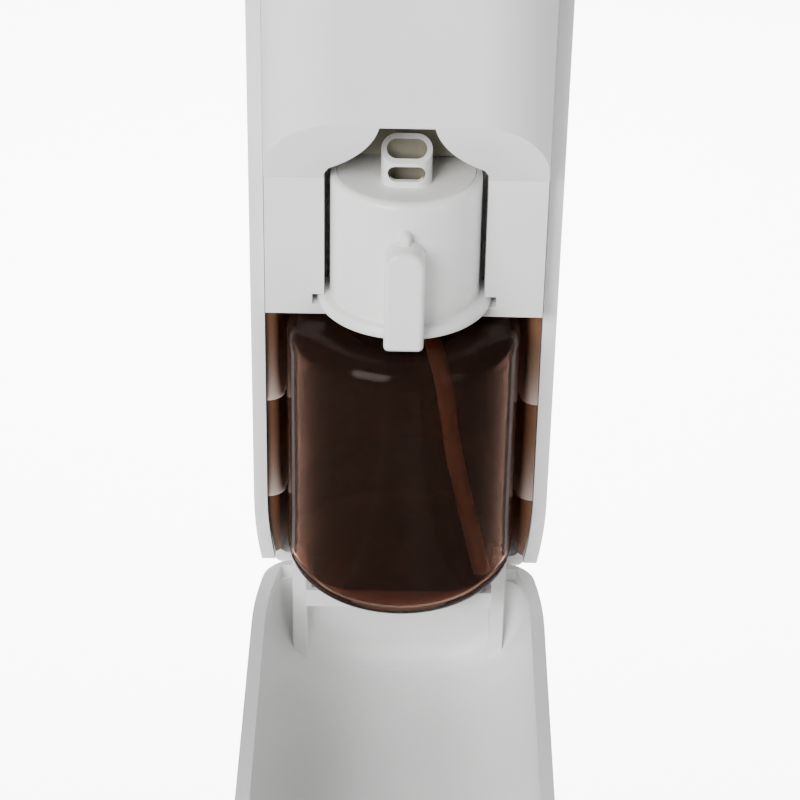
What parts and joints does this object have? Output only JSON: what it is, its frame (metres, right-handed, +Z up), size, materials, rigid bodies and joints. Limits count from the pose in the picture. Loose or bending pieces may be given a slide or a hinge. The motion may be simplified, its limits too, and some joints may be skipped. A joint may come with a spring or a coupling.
{
  "type": "scent diffuser",
  "caption": "Wall-held waterless scent diffuser with a drop-down front cover and a slide-in amber refill bottle under an atomiser head.",
  "frame": {"origin": "middle of the back face, where the case meets the wall", "axes": "+Y into the wall, +Z up, +X to the right as seen from the front; the front faces -Y"},
  "size_m": [0.0808, 0.2664, 0.2715],
  "materials": {
    "shell_white": "satin moulded plastic with a very fine texture",
    "housing_white": "satin moulded plastic",
    "head_white": "smooth semi-gloss moulded plastic",
    "liner_tan": "moulded plastic tinted brown by oil vapour and amber light",
    "amber": "dark amber translucent, glossy",
    "tube_brown": "translucent tube, glossy",
    "steel": "fine turned",
    "magnet_nickel": "nickel plated, bright",
    "rubber_black": "matte",
    "black_plastic": "fine moulded texture",
    "board_green": "solder mask",
    "ring_clear": "frosted translucent",
    "hose_clear": "translucent silicone",
    "bezel_grey": "satin silver"
  },
  "bodies": {
    "case": {"rear_shell": "shell_white", "rear_liner": "liner_tan", "base_tray": "housing_white", "front_chassis": "housing_white", "hinge_pins": "steel", "case_screws": "steel", "dc_socket": "black_plastic", "power_lead": "black_plastic", "control_board": "board_green", "board_parts": "black_plastic", "board_screws": "steel", "tact_switch": "black_plastic", "light_ring": "ring_clear", "pump_head": "black_plastic", "pump_motor": "steel", "motor_collars": "rubber_black", "air_hose": "hose_clear", "air_coupling": "black_plastic", "coupling_seal": "rubber_black", "body_magnets": "magnet_nickel"},
    "rotor": {"motor_shaft": "steel", "pump_eccentric": "head_white"},
    "button": {"mode_button": "head_white"},
    "cover": {"front_cover": "shell_white", "outlet_bezel": "bezel_grey", "cover_magnets": "magnet_nickel"},
    "cartridge": {"head_cap": "head_white", "head_lid": "head_white", "venturi_jet": "head_white", "inlet_port": "head_white", "neck_seal": "rubber_black", "dip_tube": "tube_brown"},
    "bottle": {"bottle": "amber"}
  },
  "joints": [
    {"name": "cover_hinge", "type": "hinge", "parent": "case", "child": "cover", "pos_m": [0, -0.0357, -0.1127], "axis": [1, 0, 0], "range_deg": [-90, 0]},
    {"name": "cartridge_slide", "type": "slide", "parent": "case", "child": "cartridge", "axis": [0, -1, 0], "range_m": [0, 0.06]},
    {"name": "bottle_unscrew", "type": "hinge", "parent": "cartridge", "child": "bottle", "pos_m": [0, -0.04, -0.02], "axis": [0, 0, -1], "range_deg": [0, 360]},
    {"name": "button_press", "type": "slide", "parent": "case", "child": "button", "axis": [0, 0, -1], "range_m": [0, 0.0007], "stiffness_N_per_m": 600},
    {"name": "pump_spin", "type": "hinge", "parent": "case", "child": "rotor", "pos_m": [0, -0.036, 0.07], "axis": [1, 0, 0], "continuous": true}
  ]
}
